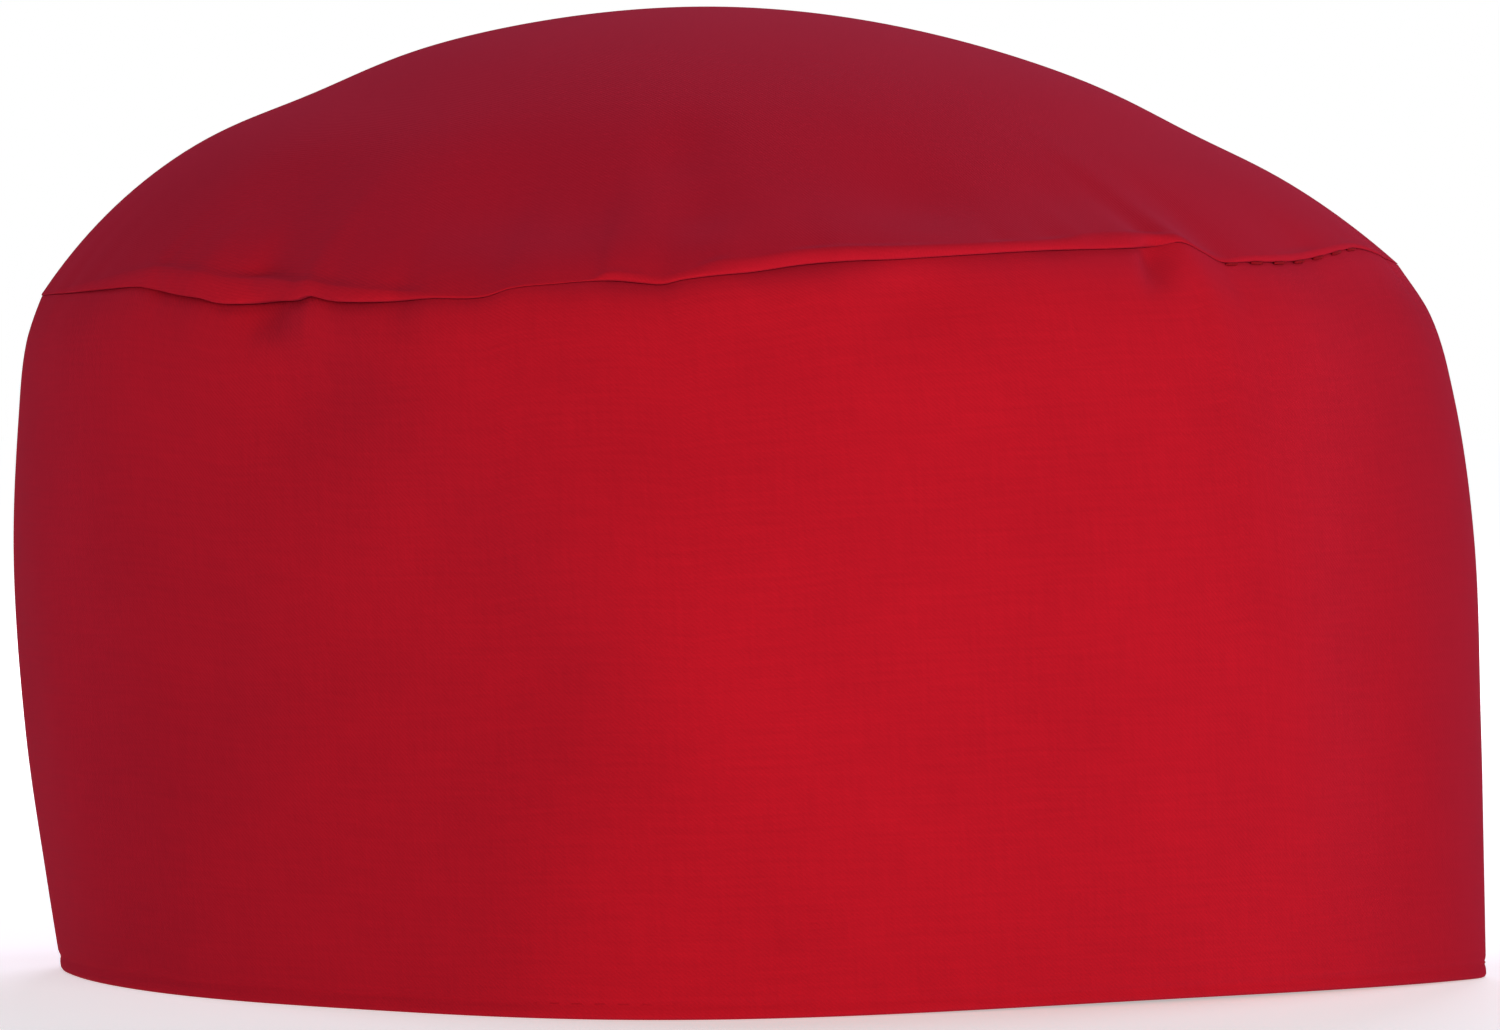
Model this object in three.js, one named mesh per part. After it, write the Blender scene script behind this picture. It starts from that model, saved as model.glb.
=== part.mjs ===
// A chef's skull cap in thin red twill, standing on its rim as it is put down on a table.
// Two sewn pieces: the band, an upright strip closed to a loop, and the crown, a domed top panel whose
// edge rolls over the seam and whose margin is turned down inside the band.
// Millimetres, +Z up. X runs from one end of the cap to the other and the front faces -Y.
// The origin lies on the table under the middle of the cap.
import * as THREE from 'three';
import { LoftGeometry } from 'three/addons/geometries/LoftGeometry.js';

// Cloth and sewing
const CLOTH = 1.2; // wall of the twill
const SEAM_GAP = 0.3; // clearance between the band and the crown
const HEM_HEIGHT = 4; // width of the turned hem at the rim
const HEM_WALL = 2 * CLOTH; // the hem is two layers of cloth
const HEM_ROUND = 0.5; // rounding of the folded rim
const SEAM_MARGIN = 8; // crown margin turned down inside the band

// Height of the seam above the rim at the two ends of the cap, and of the top of the dome
const SEAM_LEFT = 91.8;
const SEAM_RIGHT = 96;
const CAP_HEIGHT = 131;
const PLAN_BACK = 1.2; // the plan lies this far back, so that the fuller front is as far out as the back

// The band at rising heights, as a share of the seam's height: reach of the left and right ends from the
// middle, half depth from front to back, radius of the soft fold at each end, and how far the fullest place
// of the plan leans to the left, as a share of half its length.
const BAND_SECTIONS = [
  { rise: 0, left: 94, right: 100, depth: 87, leftFold: 15, rightFold: 8, lean: 0.15 },
  { rise: 0.15, left: 95.8, right: 99.9, depth: 87.6, leftFold: 24, rightFold: 30, lean: 0.14 },
  { rise: 0.35, left: 98.2, right: 99.6, depth: 88, leftFold: 32, rightFold: 50, lean: 0.12 },
  { rise: 0.62, left: 100, right: 98.5, depth: 88, leftFold: 40, rightFold: 58, lean: 0.08 },
  { rise: 0.82, left: 99.4, right: 95.4, depth: 87.2, leftFold: 48, rightFold: 54, lean: 0.06 },
  { rise: 0.93, left: 98.3, right: 92.2, depth: 86.2, leftFold: 54, rightFold: 54, lean: 0.05 },
  { rise: 1, left: 96.3, right: 87.9, depth: 85.4, leftFold: 56, rightFold: 54, lean: 0.04 },
];
const SECTION_COLUMNS = ['left', 'right', 'depth', 'leftFold', 'rightFold', 'lean'];

// Soft folds of the front of the band. Each runs down from one point to another, given across the cap and
// above the table, with its half width on the right and on the left of that line, its reach past the two ends
// and its depth into the cloth. A depth below 0 is a place where the cloth stands fuller.
const BAND_FOLDS = [
  { from: [-56, 38], to: [-44, 4], right: 34, left: 28, reach: 20, depth: 4.2 },
  { from: [-57, 74], to: [-72, 44], right: 14, left: 24, reach: 16, depth: 1.8 },
  { from: [-50, 76], to: [-20, 45], right: 13, left: 30, reach: 20, depth: 3.4 },
  { from: [0, 58], to: [-4, 4], right: 28, left: 28, reach: 16, depth: -3.2 },
  { from: [86, 90], to: [88, 20], right: 9, left: 9, reach: 14, depth: 1.8 },
];

// How far the seam on the front rises above the straight line between its two ends, across the cap.
const SEAM_WAVE = [
  { across: -96, lift: 0 },
  { across: -81, lift: 0.4 },
  { across: -76, lift: 0.5 },
  { across: -70, lift: -0.8 },
  { across: -64, lift: -2 },
  { across: -57, lift: -1.9 },
  { across: -39, lift: -2.3 },
  { across: -26, lift: -2.1 },
  { across: -22, lift: -1.1 },
  { across: -12, lift: -0.4 },
  { across: -3, lift: -1 },
  { across: 4, lift: -0.1 },
  { across: 15, lift: 1 },
  { across: 27, lift: 1.5 },
  { across: 45, lift: 2.2 },
  { across: 62, lift: 3.1 },
  { across: 67, lift: 0.4 },
  { across: 77, lift: 0.4 },
  { across: 85, lift: 2.2 },
  { across: 90, lift: 2 },
];
const FRONT_BLEND = 0.3; // share of the sine of the angle over which wave, folds and roll grow to full size

// The crown: where its top lies, how its edge rolls over the seam, and how the dome falls away from its top
// as a power of the distance.
const CROWN_TOP_ACROSS = -5.7;
const LIP_OVERHANG = 0.5; // the rolled edge stands this far out from the band, except at the two ends
const LIP_CREST = 1.3; // height of the roll above the seam
const LIP_BELLY = 0.7; // height of the widest part of the roll
const END_POWER = 1.93; // the dome's power towards the two ends
const FRONT_POWER = 1.72; // and towards the front and the back
const SHOULDER_POWER = 7; // power of the steep shoulder close to the seam
const SHOULDER_LEFT = 0.25; // share of the dome's height that falls away in the shoulder at each end
const SHOULDER_RIGHT = 0.04;
const END_SHARPNESS = 4; // power with which shoulders and hollows die out away from their end
const EDGE_POWER = 10; // power with which the seam's wave dies out from the edge, where the dents begin

// Soft hollows across the two ends of the crown: share of the way from its top to its edge, reach along that
// way, and depth.
const LEFT_HOLLOW = { place: 0.6, reach: 0.12, depth: 1.2 };
const RIGHT_HOLLOW = { place: 0.71, reach: 0.1, depth: 0.8 };

// Soft dents gathered along the seam: place across the cap, half width, depth, and place and reach as above.
const FRONT_DENTS = [
  { across: -66, width: 8, depth: 1.5, place: 0.88, reach: 0.1 },
  { across: -31, width: 9, depth: 0.6, place: 0.88, reach: 0.1 },
  { across: -14, width: 7, depth: 1, place: 0.88, reach: 0.1 },
  { across: 2, width: 6, depth: 1.6, place: 0.88, reach: 0.08 },
  { across: -1, width: 7, depth: 1.2, place: 0.74, reach: 0.09 },
  { across: 34, width: 8, depth: 1, place: 0.88, reach: 0.1 },
  { across: 55, width: 8, depth: 0.9, place: 0.88, reach: 0.1 },
  { across: -26, width: 18, depth: 3, place: 0.84, reach: 0.14 },
  { across: 28, width: 20, depth: 1.4, place: 0.84, reach: 0.14 },
];
const BACK_DENT_COUNT = 5;
const BACK_DENT_SPACING = 27;
const BACK_DENTS = Array.from({ length: BACK_DENT_COUNT }, (_, place) => ({
  across: (place - (BACK_DENT_COUNT - 1) / 2) * BACK_DENT_SPACING,
  width: 8,
  depth: 0.9,
  place: 0.88,
  reach: 0.1,
}));

// Fineness of the mesh
const AROUND = 96;
const BAND_OUTER_RISES = [0.06, 0.14, 0.24, 0.34, 0.44, 0.54, 0.64, 0.73, 0.81, 0.88, 0.93, 0.97];
const BAND_INNER_RISES = [0.97, 0.92, 0.84, 0.72, 0.56, 0.4, 0.22];
const CROWN_OUTER_STEPS = [1, 0.97, 0.93, 0.88, 0.82, 0.75, 0.66, 0.56, 0.45, 0.34, 0.22, 0.1, 0];
const CROWN_INNER_STEPS = [0, 0.12, 0.28, 0.44, 0.58, 0.7, 0.8, 0.88, 0.94, 0.965];
const SMALL_ANGLE = 1e-3;
const SMALL_STEP = 1e-3;

const TWILL = new THREE.MeshStandardMaterial({ color: 0xb81824, roughness: 0.85, metalness: 0 });

// A smooth curve through the rows of a table: the first column named is the key, the others are the values.
function smoothTable(rows, key, columns) {
  const keys = rows.map((row) => row[key]);
  const values = rows.flatMap((row) => columns.map((column) => row[column]));
  return new THREE.CubicInterpolant(keys, values, columns.length, new Float64Array(columns.length));
}

const bandSection = smoothTable(BAND_SECTIONS, 'rise', SECTION_COLUMNS);
const seamWave = smoothTable(SEAM_WAVE, 'across', ['lift']);

// How strongly an end of the plan is drawn to a point: 0 is an ellipse, 1 a pair of parabolas.
function endPinch(fold, halfLength, depth) {
  return Math.max(0, 1 - Math.sqrt(fold * halfLength) / depth);
}

// A point of the band's plan: an ellipse whose ends are pinched to the soft fold's radius, with its fullest
// place leaning to the left.
function planPoint(angle, rise) {
  const [left, right, depth, leftFold, rightFold, lean] = bandSection.evaluate(rise);
  const halfLength = (left + right) / 2;
  const pinchLeft = endPinch(leftFold, halfLength, depth);
  const pinchRight = endPinch(rightFold, halfLength, depth);
  const pinch = THREE.MathUtils.lerp(pinchLeft, pinchRight, rightward(angle));
  const across = (right - left) / 2 + halfLength * Math.cos(angle);
  const bulge = (Math.sin(angle) * Math.sqrt(1 - lean ** 2)) / (1 + lean * Math.cos(angle));
  const back = depth * bulge * (1 - pinch + pinch * Math.abs(bulge));
  return new THREE.Vector2(across, PLAN_BACK + back);
}

// The direction straight out of the plan at an angle.
function planOutward(angle, rise) {
  const before = planPoint(angle - SMALL_ANGLE, rise);
  const after = planPoint(angle + SMALL_ANGLE, rise);
  return new THREE.Vector2(after.y - before.y, before.x - after.x).normalize();
}

// 0 at the left end of the cap and 1 at the right end.
function rightward(angle) {
  return (1 + Math.cos(angle)) / 2;
}

// How far the rolled edge stands out at an angle: it dies out at the two ends, where the cap is folded flat.
function lipOverhang(angle) {
  return LIP_OVERHANG * THREE.MathUtils.smoothstep(Math.abs(Math.sin(angle)), 0, FRONT_BLEND);
}

// 1 along the front, falling to 0 at the two ends and 0 at the back.
function frontShare(angle) {
  return THREE.MathUtils.smoothstep(-Math.sin(angle), 0, FRONT_BLEND);
}

// The uneven rise of the seam along the front. The back is straight.
function seamLift(angle) {
  return frontShare(angle) * seamWave.evaluate(planPoint(angle, 1).x)[0];
}

// Height of the seam above the table at an angle: a straight tilt and the wave of the front.
function seamHeight(angle) {
  return THREE.MathUtils.lerp(SEAM_LEFT, SEAM_RIGHT, rightward(angle)) + seamLift(angle);
}

// A smooth bell: 1 at its middle, dying out over its reach.
function bell(distance, reach) {
  return Math.exp(-((distance / reach) ** 2));
}

// How far one fold presses the cloth in at a place across the cap and above the table.
function pressedBy(fold, across, height) {
  const start = new THREE.Vector2(...fold.from);
  const line = new THREE.Vector2(...fold.to).sub(start);
  const length = line.length();
  line.normalize();
  const offset = new THREE.Vector2(across, height).sub(start);
  const along = offset.dot(line);
  const beyond = along - THREE.MathUtils.clamp(along, 0, length);
  const aside = line.cross(offset);
  const width = aside > 0 ? fold.right : fold.left;
  return fold.depth * bell(aside, width) * bell(beyond, fold.reach);
}

// How far the front of the band is pressed in there by all its folds.
function foldDepth(across, height) {
  return BAND_FOLDS.reduce((pressed, fold) => pressed + pressedBy(fold, across, height), 0);
}

// A point of the band's wall, moved in from its outside and lifted from its place.
function bandPoint(angle, rise, inset, lift) {
  const plan = planPoint(angle, rise);
  const height = rise * seamHeight(angle) + lift;
  const pressed = frontShare(angle) * foldDepth(plan.x, height);
  plan.addScaledVector(planOutward(angle, rise), -inset - pressed);
  return new THREE.Vector3(plan.x, plan.y, height);
}

// One ring of points round the cap.
function ring(pointAt) {
  return Array.from({ length: AROUND }, (_, step) => pointAt((step / AROUND) * 2 * Math.PI));
}

function bandRing(rise, inset, lift) {
  return ring((angle) => bandPoint(angle, rise, inset, lift));
}

// The band: flat folded rim, outer wall up to the seam, inner wall down to the hem and back to the rim.
function makeBand() {
  const rim = bandRing(0, HEM_WALL - HEM_ROUND, 0);
  const top = -SEAM_GAP / 2;
  const rings = [
    rim,
    bandRing(0, HEM_ROUND, 0),
    bandRing(0, 0, HEM_ROUND),
    ...BAND_OUTER_RISES.map((rise) => bandRing(rise, 0, 0)),
    bandRing(1, 0, top),
    bandRing(1, CLOTH, top),
    ...BAND_INNER_RISES.map((rise) => bandRing(rise, CLOTH, 0)),
    bandRing(0, CLOTH, HEM_HEIGHT + HEM_ROUND),
    bandRing(0, HEM_WALL, HEM_HEIGHT),
    bandRing(0, HEM_WALL, HEM_ROUND),
    rim,
  ];
  return new LoftGeometry(rings);
}

// Share of the dome's height left at a share of the way from its top to its edge.
function domeShare(angle, step) {
  const toLeft = (1 - rightward(angle)) ** END_SHARPNESS;
  const toRight = rightward(angle) ** END_SHARPNESS;
  const shoulder = SHOULDER_LEFT * toLeft + SHOULDER_RIGHT * toRight;
  const power = THREE.MathUtils.lerp(FRONT_POWER, END_POWER, Math.cos(angle) ** 2);
  return 1 - (1 - shoulder) * step ** power - shoulder * step ** SHOULDER_POWER;
}

// How far the crown is pressed in by the hollows at its ends and the gathers along the seam.
function dentDepth(angle, step) {
  const across = planPoint(angle, 1).x;
  const toLeft = (1 - rightward(angle)) ** END_SHARPNESS;
  const toRight = rightward(angle) ** END_SHARPNESS;
  const leftHollow = LEFT_HOLLOW.depth * bell(step - LEFT_HOLLOW.place, LEFT_HOLLOW.reach);
  const rightHollow = RIGHT_HOLLOW.depth * bell(step - RIGHT_HOLLOW.place, RIGHT_HOLLOW.reach);
  let pressed = leftHollow * toLeft + rightHollow * toRight;
  for (const dent of Math.sin(angle) < 0 ? FRONT_DENTS : BACK_DENTS) {
    pressed += dent.depth * bell(across - dent.across, dent.width) * bell(step - dent.place, dent.reach);
  }
  return pressed;
}

// A point of the crown's outside, a share of the way from its top to the crest of its rolled edge.
function crownPoint(angle, step) {
  const edge = bandPoint(angle, 1, -lipOverhang(angle), LIP_CREST);
  const lift = seamLift(angle);
  const nearEdge = step ** EDGE_POWER;
  const across = THREE.MathUtils.lerp(CROWN_TOP_ACROSS, edge.x, step);
  const back = THREE.MathUtils.lerp(PLAN_BACK, edge.y, step);
  const dome = THREE.MathUtils.lerp(edge.z - lift, CAP_HEIGHT, domeShare(angle, step));
  const height = dome + lift * nearEdge - dentDepth(angle, step) * (1 - nearEdge);
  return new THREE.Vector3(across, back, height);
}

// The matching point of the crown's inside, one cloth thickness straight in from the outside.
function crownInnerPoint(angle, step) {
  const outside = crownPoint(angle, step);
  const outward = new THREE.Vector3(0, 0, 1);
  if (step > 0) {
    const along = crownPoint(angle + SMALL_ANGLE, step).sub(crownPoint(angle - SMALL_ANGLE, step));
    const down = crownPoint(angle, step + SMALL_STEP).sub(crownPoint(angle, step - SMALL_STEP));
    outward.crossVectors(down, along).normalize();
  }
  return outside.addScaledVector(outward, -CLOTH);
}

// The crown: inside of the dome, margin turned down inside the band, rolled lip, outside of the dome.
function makeCrown() {
  const marginFoot = 1 - SEAM_MARGIN / SEAM_LEFT;
  const marginOuter = CLOTH + SEAM_GAP;
  const marginInner = marginOuter + CLOTH;
  const under = SEAM_GAP / 2;
  const rings = [
    ...CROWN_INNER_STEPS.map((step) => ring((angle) => crownInnerPoint(angle, step))),
    bandRing(1, marginInner, 0),
    bandRing(marginFoot, marginInner, 0),
    bandRing(marginFoot, marginOuter, 0),
    bandRing(1, marginOuter, under),
    bandRing(1, 0, under),
    ring((angle) => bandPoint(angle, 1, -lipOverhang(angle), LIP_BELLY)),
    ...CROWN_OUTER_STEPS.map((step) => ring((angle) => crownPoint(angle, step))),
  ];
  return new LoftGeometry(rings);
}

function makePiece(name, geometry) {
  const mesh = new THREE.Mesh(geometry, TWILL);
  mesh.name = name;
  return mesh;
}

const cap = new THREE.Group();
cap.name = 'chef_skull_cap';
cap.add(makePiece('band', makeBand()));
cap.add(makePiece('crown', makeCrown()));

export default cap;
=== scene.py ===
# %% [markdown]
# # A red chef's skull cap, dressed around its construction
#
# The cap is two pieces of thin red twill: a band, which is one strip closed to a loop, and a crown, which
# is a domed panel sewn to the band's top edge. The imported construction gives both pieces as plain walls.
# This lesson makes the cloth that shows: the same walls with a rolled seam, gathers, soft folds, a
# stitched hem and a weave.

import bpy
import numpy as np
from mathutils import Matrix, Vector


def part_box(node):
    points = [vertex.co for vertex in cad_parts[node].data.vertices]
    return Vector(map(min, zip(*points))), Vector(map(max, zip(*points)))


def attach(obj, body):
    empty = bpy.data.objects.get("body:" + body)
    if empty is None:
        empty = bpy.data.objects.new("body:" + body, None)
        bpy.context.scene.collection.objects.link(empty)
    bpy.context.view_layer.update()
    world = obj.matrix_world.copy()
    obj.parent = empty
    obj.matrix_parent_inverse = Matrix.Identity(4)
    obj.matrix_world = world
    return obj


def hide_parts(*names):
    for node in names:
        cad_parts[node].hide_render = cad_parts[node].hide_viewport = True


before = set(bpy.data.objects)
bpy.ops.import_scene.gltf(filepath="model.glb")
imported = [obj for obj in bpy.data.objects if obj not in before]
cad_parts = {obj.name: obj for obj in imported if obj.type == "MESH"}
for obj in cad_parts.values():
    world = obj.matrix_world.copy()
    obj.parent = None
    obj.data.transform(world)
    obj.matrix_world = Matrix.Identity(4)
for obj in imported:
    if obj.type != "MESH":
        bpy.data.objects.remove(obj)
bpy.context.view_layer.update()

# %% [markdown]
# ## Sizes
#
# A pattern cutter works in millimetres, so every size and every shape function here does too, and the
# last step before a mesh is made turns millimetres into metres, which is what Blender measures in. The
# cloth, the heights, the sections, the folds and the dents repeat the construction's own sizes, so the
# dressed cap lies on its solids. The seam's line is charted finer here, and the turned edge above it and
# the gathers below it are added here.

# %% Sizes of the cloth, the hem and the seam
MM = 0.001
CLOTH = 1.2            # wall of the twill
SEAM_GAP = 0.3         # clearance between the walls of the band and the crown's margin
SEAM_TOUCH = 0.03      # half of the hairline where the crown lies on the band's top edge
HEM_HEIGHT = 4.0       # width of the turned hem at the rim
HEM_WALL = 2 * CLOTH   # the hem is two layers of cloth
HEM_ROUND = 0.5        # rounding of the folded rim
SEAM_MARGIN = 8.0      # crown margin turned down inside the band
SEAM_LEFT = 91.8       # height of the seam at the left end
SEAM_RIGHT = 96.0      # and at the right end
PLAN_BACK = 1.2        # the plan lies this far back, so that the fuller front is as far out as the back
CAP_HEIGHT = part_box("crown")[1].z / MM
print(f"cap {CAP_HEIGHT:.1f} mm tall, seam from {SEAM_LEFT} to {SEAM_RIGHT} mm")

# %% Tables of the shape, a row for each section, fold or gather
# share of the seam's height; reach of the left and right ends; half depth; fold radius at each end; lean
BAND_SECTIONS = np.array([
    [0.00, 94.0, 100.0, 87.0, 15, 8, 0.15],
    [0.15, 95.8, 99.9, 87.6, 24, 30, 0.14],
    [0.35, 98.2, 99.6, 88.0, 32, 50, 0.12],
    [0.62, 100.0, 98.5, 88.0, 40, 58, 0.08],
    [0.82, 99.4, 95.4, 87.2, 48, 54, 0.06],
    [0.93, 98.3, 92.2, 86.2, 54, 54, 0.05],
    [1.00, 96.3, 87.9, 85.4, 56, 54, 0.04],
])
# place across the cap; lift of the front seam above the straight line between its ends
SEAM_WAVE = np.array([
    [-96, 0.0], [-88, 0.1], [-81, 0.4], [-76, 0.5], [-72.5, -0.2], [-70, -0.75], [-67, -1.2],
    [-64.5, -1.9], [-61.5, -2.1], [-57, -1.85], [-53, -1.8], [-51, -1.35], [-47, -2.1], [-39, -2.35],
    [-33.5, -2.1], [-25.5, -2.05], [-22.5, -1.15], [-16.5, -0.65], [-11.5, -0.4], [-8.5, -0.45],
    [-5, -0.85], [-2.5, -1.05], [0, -0.55], [4, -0.1], [9, 0.25], [15, 1.0], [21, 1.4], [27, 1.5],
    [35, 1.85], [45, 2.25], [56, 2.4], [60, 2.6], [62, 3.1], [64.5, 1.8], [67, 0.4], [70, 0.4],
    [77, 0.45], [79.5, 0.9], [82.5, 1.7], [85, 2.2], [90, 2.0],
])
# start across and above the table; end across and above the table; half width to the right of that line and
# to the left of it; reach past its ends; depth, which is below 0 where the cloth stands fuller
BAND_FOLDS = np.array([
    [-56, 38, -44, 4, 34, 28, 20, 4.2],
    [-57, 74, -72, 44, 14, 24, 16, 1.8],
    [-50, 76, -20, 45, 13, 30, 20, 3.4],
    [0, 58, -4, 4, 28, 28, 16, -3.2],
    [86, 90, 88, 20, 9, 9, 14, 1.8],
])
# dents of the crown: place across; half width; depth; share of the way from top to seam; reach along it
FRONT_DENTS = np.array([
    [-66, 8, 1.5, 0.88, 0.10],
    [-31, 9, 0.6, 0.88, 0.10],
    [-14, 7, 1.0, 0.88, 0.10],
    [2, 6, 1.6, 0.88, 0.08],
    [-1, 7, 1.2, 0.74, 0.09],
    [34, 8, 1.0, 0.88, 0.10],
    [55, 8, 0.9, 0.88, 0.10],
    [-26, 18, 3.0, 0.84, 0.14],
    [28, 20, 1.4, 0.84, 0.14],
])
BACK_DENTS = np.array([[across, 8, 0.9, 0.88, 0.10] for across in (-54, -27, 0, 27, 54)])
# place across the cap; height of the crown's edge where it turns down; how upright it gets, from 0 to 1; how
# far the seam is drawn in under that edge; how far the top of the band leans in to the seam
LIP_TALL = 1           # numbers of the last four of these columns
LIP_UPRIGHT = 2
LIP_DRAWN = 3
LIP_SHOULDER = 4
LIP_FOLD = np.array([
    [-97, 0.3, 0.5, 0.0, 0.3], [-89, 0.8, 0.6, 0.2, 0.5], [-81, 1.6, 0.8, 0.4, 0.6],
    [-77, 2.2, 0.9, 0.3, 0.6], [-72.5, 3.0, 1.0, 0.7, 0.8], [-67.5, 3.2, 1.0, 0.8, 0.8],
    [-60, 3.0, 0.4, 1.2, 0.8], [-54, 2.2, 0.8, 1.1, 0.8], [-51, 1.8, 1.0, 1.0, 0.7],
    [-46, 1.7, 1.0, 1.3, 0.5], [-40, 1.2, 0.9, 1.1, 0.7], [-33.5, 0.5, 0.3, 0.5, 0.9],
    [-29, 0.4, 0.3, 0.4, 1.0], [-23, 0.2, 0.3, 0.2, 0.9], [-16, 0.2, 0.2, 0.2, 1.8],
    [-11.5, 0.2, 0.3, 0.3, 2.0], [-10, 0.8, 0.9, 0.7, 2.0], [-7.5, 0.9, 0.9, 0.7, 2.0],
    [-2.5, 0.9, 0.6, 0.5, 1.8], [1, 1.0, 0.6, 0.5, 1.4], [5, 1.7, 0.7, 0.7, 1.0],
    [9, 1.7, 0.9, 1.0, 1.2], [15, 1.7, 1.0, 1.1, 1.5], [21, 1.6, 1.0, 1.1, 1.0],
    [27, 1.4, 1.0, 0.9, 0.4], [39.5, 1.1, 1.0, 0.9, 0.5], [48.5, 1.3, 0.8, 0.9, 0.9],
    [51.5, 2.0, 0.7, 0.45, 1.2], [58, 1.6, 0.8, 0.7, 1.0], [60, 1.3, 0.8, 0.5, 0.8],
    [62.5, 0.8, 0.6, 0.2, 0.5], [64.5, 0.6, 0.4, 0.1, 0.3], [67, 0.6, 0.5, 0.2, 0.3],
    [70, 0.6, 0.9, 0.5, 0.4], [78, 0.7, 1.0, 0.6, 0.6], [84, 0.6, 1.0, 0.4, 0.5],
    [88, 0.3, 0.5, 0.1, 0.3],
])
# small gathers under the seam: place across; middle below the seam; half width; half height; depth
SEAM_PUCKERS = np.array([
    [-58.0, 1.8, 3.8, 3.2, 1.8],
    [-38.0, 1.5, 3.0, 2.5, 0.3],
    [28.5, 5.0, 5.5, 5.0, 1.3],
    [59.0, 1.8, 1.7, 3.0, 2.0],
])
print(len(BAND_SECTIONS), "sections,", len(BAND_FOLDS), "folds,", len(FRONT_DENTS), "front dents")

# %% [markdown]
# ## The plan of the band
#
# Seen from above, the cap is an ellipse whose two ends are pinched, because it has been stored flat.
# Drawing the outline by hand would take many points. A formula needs only the reach of each end, the
# depth and the radius of the fold, and a smooth curve through the table gives those at any height.

# %% Smooth curves and the plan
def smooth_curve(table, column, at):
    """A cubic through the rows of a table. Its slope at a row is the mean of the slopes on both sides."""
    keys, values = table[:, 0], table[:, column]
    slopes = np.diff(values) / np.diff(keys)
    tangents = np.concatenate([slopes[:1], (slopes[:-1] + slopes[1:]) / 2, slopes[-1:]])
    at = np.clip(at, keys[0], keys[-1])
    row = np.clip(np.searchsorted(keys, at, side="right") - 1, 0, len(keys) - 2)
    width = keys[row + 1] - keys[row]
    share = (at - keys[row]) / width
    start = (1 + 2 * share) * values[row] + share * width * tangents[row]
    end = (3 - 2 * share) * values[row + 1] + (share - 1) * width * tangents[row + 1]
    return (1 - share) ** 2 * start + share ** 2 * end


def rightward(angle):
    """0 at the left end of the cap and 1 at the right end: half of one plus the cosine of the angle."""
    return (1 + np.cos(angle)) / 2


def plan(angle, rise):
    """The outline at a share of the seam's height: x is an ellipse's, y is depth times b (1 - k + k |b|).

    b is the sine of the angle, leaned to the left, and k the pinch: 0 gives an ellipse, 1 two parabolas.
    """
    left, right, depth, left_fold, right_fold, lean = (
        smooth_curve(BAND_SECTIONS, column, rise) for column in range(1, BAND_SECTIONS.shape[1])
    )
    half_length = (left + right) / 2
    pinch_left = np.maximum(0, 1 - np.sqrt(left_fold * half_length) / depth)
    pinch_right = np.maximum(0, 1 - np.sqrt(right_fold * half_length) / depth)
    pinch = pinch_left + (pinch_right - pinch_left) * rightward(angle)
    bulge = np.sin(angle) * np.sqrt(1 - lean ** 2) / (1 + lean * np.cos(angle))
    across = (right - left) / 2 + half_length * np.cos(angle)
    return across, PLAN_BACK + depth * bulge * (1 - pinch + pinch * np.abs(bulge))


def plan_outward(angle, rise, small=1e-3):
    """The direction straight out of the outline: its tangent, turned a quarter turn."""
    x0, y0 = plan(angle - small, rise)
    x1, y1 = plan(angle + small, rise)
    length = np.hypot(x1 - x0, y1 - y0)
    return (y1 - y0) / length, (x0 - x1) / length


def unit(vectors):
    """The same directions with a length of one."""
    return vectors / np.linalg.norm(vectors, axis=-1, keepdims=True)


AROUND = 720
angles = np.arange(AROUND) * 2 * np.pi / AROUND
rim_x, rim_y = plan(angles, np.zeros_like(angles))
rim_length = np.hypot(np.diff(rim_x, append=rim_x[0]), np.diff(rim_y, append=rim_y[0])).sum()
print(f"rim {rim_length:.0f} mm round")

# %% [markdown]
# ## The seam and the soft relief of the cloth
#
# Cloth is never a clean surface. Here each kind of unevenness is a small function that says how far the
# wall is pressed in: long folds, gathers under the seam, the curl of the top edge into the seam, and a
# slow swell all round. Simulating the cloth would give folds too, but not these folds, so they are placed
# by their sizes.

# %% Height of the seam
FRONT_BLEND = 0.3      # sine of the angle from an end at which the front has its full relief
END_BLEND = 0.35       # and at which nothing is left of what belongs to the ends


def front_share(angle):
    """1 along the front, falling smoothly to 0 at the two ends and 0 at the back."""
    share = np.clip(-np.sin(angle) / FRONT_BLEND, 0, 1)
    return share ** 2 * (3 - 2 * share)


def end_share(angle):
    """1 at the two ends of the cap, falling smoothly to 0 a little way round from them."""
    share = np.clip(1 - np.abs(np.sin(angle)) / END_BLEND, 0, 1)
    return share ** 2 * (3 - 2 * share)


def seam_straight(angle):
    """The straight line of the seam, from its height at the left end to that at the right end."""
    return SEAM_LEFT + (SEAM_RIGHT - SEAM_LEFT) * rightward(angle)


def seam_lift(angle):
    """The uneven rise of the front seam. The back is straight."""
    across = plan(angle, np.ones_like(angle))[0]
    return front_share(angle) * smooth_curve(SEAM_WAVE, 1, across)


def seam_height(angle):
    """Height of the seam above the table: the straight line and the wave of the front."""
    return seam_straight(angle) + seam_lift(angle)


print("seam height", np.round([seam_height(angles).min(), seam_height(angles).max()], 1))

# %% Relief of the band
TUCK_REACH = 1.0       # height over which the band's top edge turns in to the seam
BACK_TUCK = 0.5        # how far it turns in along the plain back
SHOULDER_REACH = 1.9   # height over which the top of the band leans in
STITCH_HEIGHT = 2.0    # hem stitch line above the rim
CHANNEL_DEPTH = 0.22   # the stitches draw the hem in by this much
CHANNEL_REACH = 0.5    # half height of the channel that this makes
RIM_LIFT = 0.5         # the rim stands this far off the table on the right of the front
RIM_LIFT_ACROSS = 60.0  # where that is across the cap
RIM_LIFT_WIDTH = 32.0  # and its half width
RIM_LIFT_POWER = 12    # power with which the lift dies out up the band
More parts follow.
